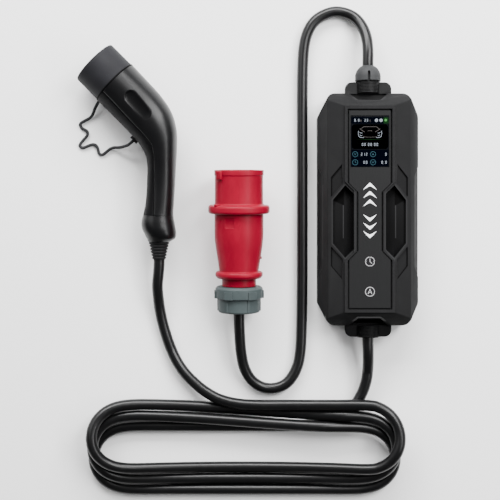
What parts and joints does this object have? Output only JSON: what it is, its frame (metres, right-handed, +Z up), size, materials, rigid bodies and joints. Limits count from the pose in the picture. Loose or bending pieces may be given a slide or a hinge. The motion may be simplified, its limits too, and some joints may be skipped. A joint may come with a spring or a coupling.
{
  "type": "portable ev charger",
  "caption": "Portable EV charging cable: control box with display, red industrial plug, capped vehicle connector and a coiled cable, lying flat.",
  "frame": {"origin": "centre of the control box's flat back, on the surface that everything lies on", "axes": "+X to the box's right, +Y along the box towards the supply cable, +Z up out of the box's front"},
  "size_m": [0.4111, 0.5942, 0.0741],
  "materials": {
    "case": "fine textured satin",
    "panel": "satin film",
    "lens": "glossy",
    "light_guide": "frosted",
    "grey_rubber": "matte",
    "rubber": "matte",
    "cable": "semi-gloss",
    "handle": "satin gloss",
    "cap_rubber": "matte",
    "red_plastic": "satin",
    "nut_grey": "satin",
    "contact": "nickel plated",
    "steel": "satin",
    "board": "solder mask",
    "component": "matte",
    "core": "taped winding"
  },
  "bodies": {
    "root": {"front_shell": "case", "rear_shell": "case", "shell_gasket_left": "rubber", "shell_gasket_right": "rubber", "fascia_panel": "panel", "display_lens": "lens", "display_module": "component", "arrow_light_guide": "light_guide", "control_board": "board", "touch_pad_timer": "contact", "touch_pad_current": "contact", "main_board": "board", "relay_1": "component", "relay_2": "component", "leakage_sensor": "component", "power_converter": "core", "filter_capacitor": "component", "supply_terminals": "component", "output_terminals": "component", "case_screw_1": "steel", "case_screw_2": "steel", "case_screw_3": "steel", "case_screw_4": "steel", "top_collar": "rubber", "bottom_collar": "rubber", "top_dome": "grey_rubber", "handle_shell": "handle", "grip_strip": "rubber", "contact_carrier": "component", "contact_1": "contact", "contact_2": "contact", "contact_3": "contact", "contact_4": "contact", "contact_5": "contact", "contact_6": "contact", "contact_7": "contact", "dust_cap": "cap_rubber", "connector_bend_relief": "rubber", "tether_anchor": "rubber", "cap_tether": "cap_rubber", "plug_shroud": "red_plastic", "plug_insert": "component", "plug_pin_1": "contact", "plug_pin_2": "contact", "plug_pin_3": "contact", "plug_pin_4": "contact", "plug_pin_5": "contact", "plug_body": "red_plastic", "gland_nut": "nut_grey", "gland_seal": "rubber", "supply_cable": "cable", "output_cable_box_end": "cable", "output_cable_connector_end": "cable", "cable_coil": "cable"}
  },
  "joints": []
}
